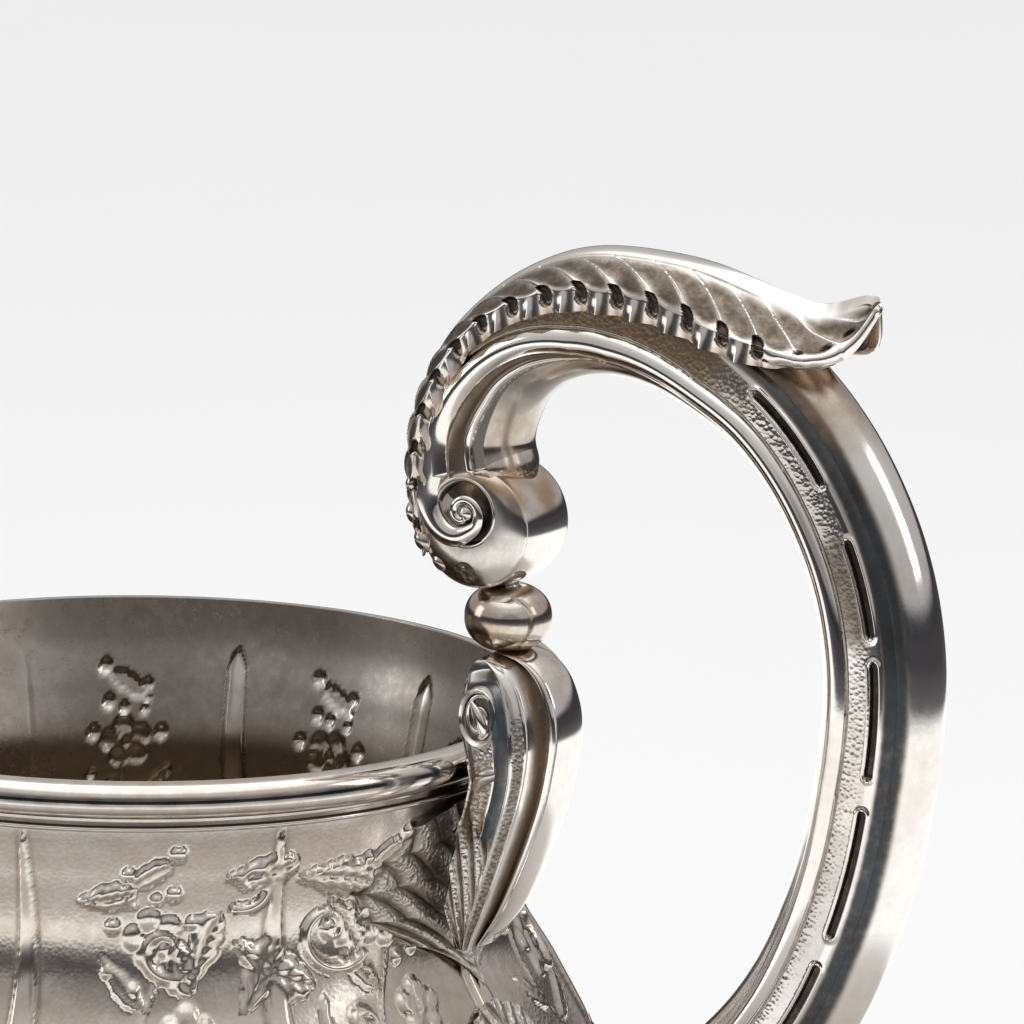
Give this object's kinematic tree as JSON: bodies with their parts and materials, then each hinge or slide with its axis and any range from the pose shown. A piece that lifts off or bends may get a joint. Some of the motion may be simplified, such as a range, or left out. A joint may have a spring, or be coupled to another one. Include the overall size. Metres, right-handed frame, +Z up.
{
  "type": "water pitcher",
  "caption": "Silver pitcher with a flared wired mouth, a lipped spout, a spreading foot and a hollow C-scroll handle under a curled leaf.",
  "frame": {"origin": "centre of the foot's underside, on the surface that the pitcher stands on", "axes": "+Z up along the pitcher's axis, +X towards the handle, -X towards the spout, Y across the handle"},
  "size_m": [0.2273, 0.16, 0.263],
  "materials": {
    "polished_silver": "polished cast and drawn sterling silver, warm, with tarnish in the recesses",
    "toned_silver": "chased sterling sheet, brown and blue-grey tarnish over a bright raised ground",
    "dowel_silver": "plain drawn silver rod"
  },
  "bodies": {
    "root": {"body_shell": "toned_silver", "spout": "toned_silver", "mouth_wire": "polished_silver", "spout_wire": "polished_silver", "bead_wire": "polished_silver", "foot_collar": "polished_silver", "foot_dome": "toned_silver", "foot_wire": "polished_silver", "handle_shell_near": "polished_silver", "handle_shell_far": "polished_silver", "thumb_leaf": "polished_silver", "upper_knop": "polished_silver", "handle_bead": "polished_silver", "upper_dowel": "dowel_silver", "rim_scroll": "polished_silver", "neck_leaf": "toned_silver", "lower_knop": "polished_silver", "lower_leaf": "toned_silver", "lower_dowel": "dowel_silver"}
  },
  "joints": []
}
